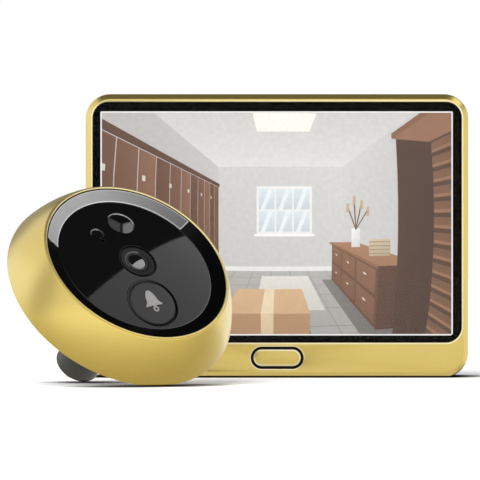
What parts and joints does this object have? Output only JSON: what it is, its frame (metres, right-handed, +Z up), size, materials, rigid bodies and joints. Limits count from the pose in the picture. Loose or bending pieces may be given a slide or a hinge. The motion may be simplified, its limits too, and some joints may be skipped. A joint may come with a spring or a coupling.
{
  "type": "peephole door camera",
  "caption": "Door viewer set: an upright screen unit with a home button and rear door bracket, and a round domed camera unit with lens, motion sensor, bell button and through-door barrel.",
  "frame": {"origin": "centre of the screen unit's base, on the surface that the set stands on", "axes": "+Z up, the screen faces -Y, +X to the viewer's right; the camera unit leans in front, to the left"},
  "size_m": [0.1172, 0.1041, 0.074],
  "materials": {
    "gold_frame": "satin gold paint",
    "gold_metal": "satin gold paint",
    "cover_glass": "polished",
    "black_gloss": "polished",
    "face_plastic": "polished",
    "button_plastic": "satin",
    "black_plastic": "fine texture",
    "display": "polished",
    "backlight": "diffuse white",
    "steel": "brushed",
    "ribbon": "flexible film",
    "circuit_board": "solder mask",
    "connector": "moulded",
    "battery_wrap": "foil pouch",
    "dark_screw": "blackened",
    "mesh": "woven mesh",
    "light_diffuser": "frosted",
    "sensor_lens": "frosted",
    "lens_glass": "coated",
    "symbol_print": "printed",
    "barrel_metal": "dark satin",
    "rubber": "matt",
    "foam": "foam"
  },
  "bodies": {
    "monitor": {"front_frame": "gold_frame", "cover_glass": "cover_glass", "glass_tape": "foam", "lcd_panel": "display", "backlight": "backlight", "lcd_tray": "steel", "display_ribbon": "ribbon", "button_collar": "black_gloss", "home_switch": "black_plastic", "main_board": "circuit_board", "processor_shield": "steel", "camera_socket": "connector", "usb_port": "steel", "card_slot": "steel", "board_screws": "steel", "battery": "battery_wrap", "speaker": "black_plastic", "speaker_mesh": "mesh", "rear_housing": "black_plastic", "housing_screws": "dark_screw"},
    "home_button": {"home_button": "gold_frame"},
    "bracket": {"door_bracket": "steel", "bracket_pads": "foam"},
    "camera": {"camera_bezel": "gold_metal", "face_ring": "black_gloss", "light_bar": "light_diffuser", "bar_leds": "backlight", "face_plate": "face_plastic", "pir_lens": "sensor_lens", "pir_sensor": "steel", "light_window": "face_plastic", "light_sensor": "black_plastic", "lens_ring": "face_plastic", "lens_barrel": "black_plastic", "front_lens": "lens_glass", "lens_holder": "black_plastic", "image_sensor": "black_gloss", "bell_collar": "black_gloss", "bell_switch": "black_plastic", "camera_board": "circuit_board", "camera_board_screws": "steel", "ribbon_socket": "connector", "camera_microphone": "steel", "back_cover": "black_plastic", "back_screws": "dark_screw", "barrel": "barrel_metal", "barrel_grommet": "rubber", "door_gasket": "foam"},
    "bell_button": {"bell_button": "button_plastic", "bell_symbol": "symbol_print"}
  },
  "joints": [
    {"name": "home_press", "type": "slide", "parent": "monitor", "child": "home_button", "axis": [0, 1, 0], "range_m": [0, 0.0006], "stiffness_N_per_m": 2500},
    {"name": "bracket_slide", "type": "slide", "parent": "monitor", "child": "bracket", "axis": [0, 0, -1], "range_m": [0, 0.008]},
    {"name": "camera_lift", "type": "slide", "parent": "monitor", "child": "camera", "axis": [0, 0, 1], "range_m": [0, 0.12]},
    {"name": "bell_press", "type": "slide", "parent": "camera", "child": "bell_button", "axis": [-0.3882, 0.6629, -0.6402], "range_m": [0, 0.0006], "stiffness_N_per_m": 2500}
  ]
}
